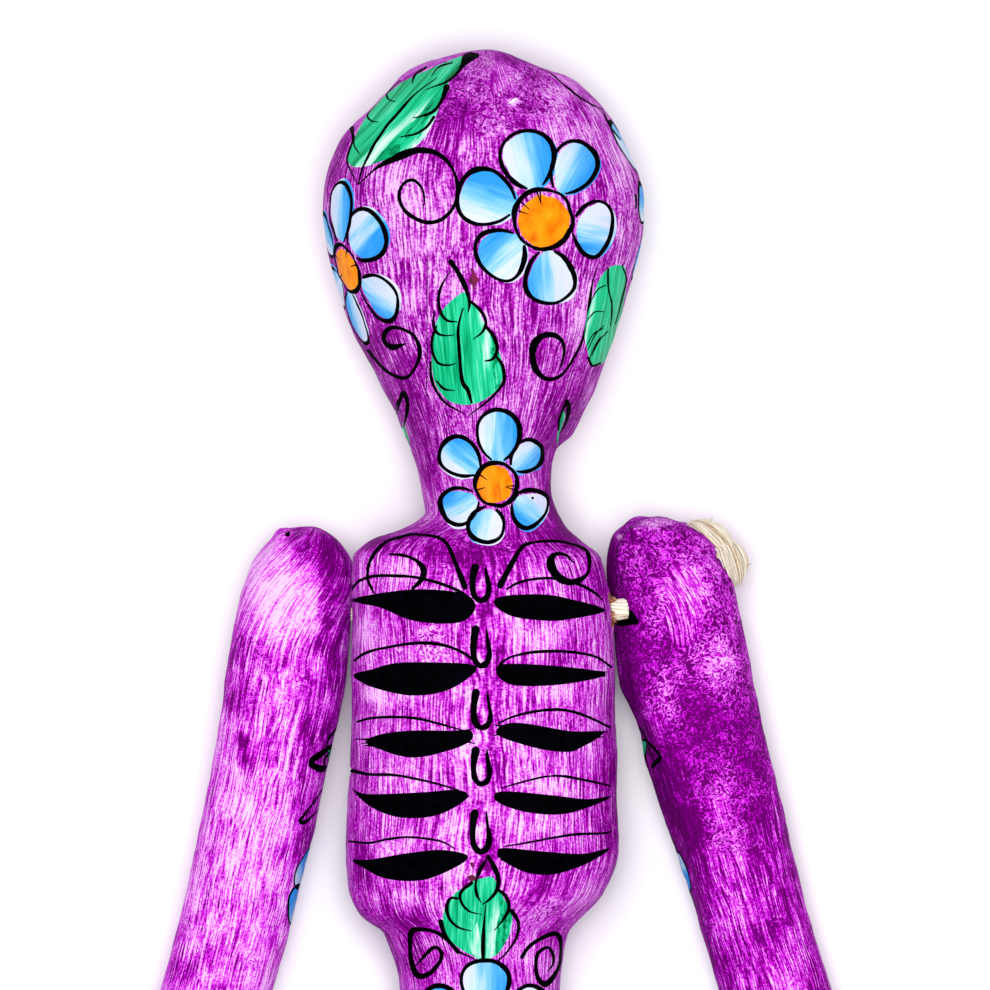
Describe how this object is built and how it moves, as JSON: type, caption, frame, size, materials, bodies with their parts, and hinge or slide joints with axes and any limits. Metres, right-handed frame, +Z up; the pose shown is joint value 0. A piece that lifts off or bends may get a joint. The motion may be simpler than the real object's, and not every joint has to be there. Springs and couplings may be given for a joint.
{
  "type": "day of the dead skeleton figure",
  "caption": "Papier-mache skeleton figure with painted ribs and flowers, its arms and legs tied on by cotton cords, lying on its front.",
  "frame": {"origin": "middle of the figure's footprint, on the surface that it lies on", "axes": "+Y towards the head, +Z up out of the figure's back, so +X is the figure's right-hand side"},
  "size_m": [0.2854, 0.6, 0.0973],
  "materials": {
    "painted_paper": "papier-mache painted violet and wiped back in streaks, with painted ornament, satin",
    "cotton_cord": "undyed cotton, matt"
  },
  "bodies": {
    "root": {"head_and_torso": "painted_paper", "left_arm": "painted_paper", "right_arm": "painted_paper", "left_leg": "painted_paper", "right_leg": "painted_paper", "shoulder_cord": "cotton_cord", "hip_cord": "cotton_cord"}
  },
  "joints": []
}
